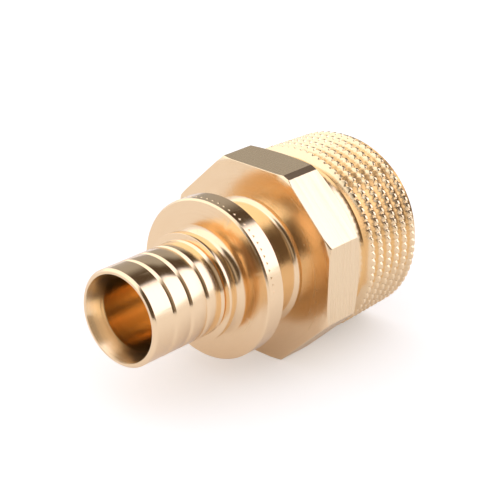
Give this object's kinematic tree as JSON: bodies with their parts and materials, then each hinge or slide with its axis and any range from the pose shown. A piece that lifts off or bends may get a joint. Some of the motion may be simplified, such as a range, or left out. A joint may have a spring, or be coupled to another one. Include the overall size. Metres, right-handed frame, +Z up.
{
  "type": "male threaded adapter",
  "caption": "Brass pipe adapter: grooved stub for a sleeved plastic pipe, collar, flange, octagon and a tapered male thread with notched crests, bored right through.",
  "frame": {"origin": "middle of the fitting's length and width, on the surface that the lower flat of the octagon rests on", "axes": "+X along the bore from the pipe stub towards the threaded end, +Z up, square to the upper flat of the octagon"},
  "size_m": [0.0564, 0.0332, 0.0332],
  "materials": {
    "brass": "turned and brushed, satin on the octagon, bright on the lands"
  },
  "bodies": {
    "root": {"adapter_body": "brass"}
  },
  "joints": []
}
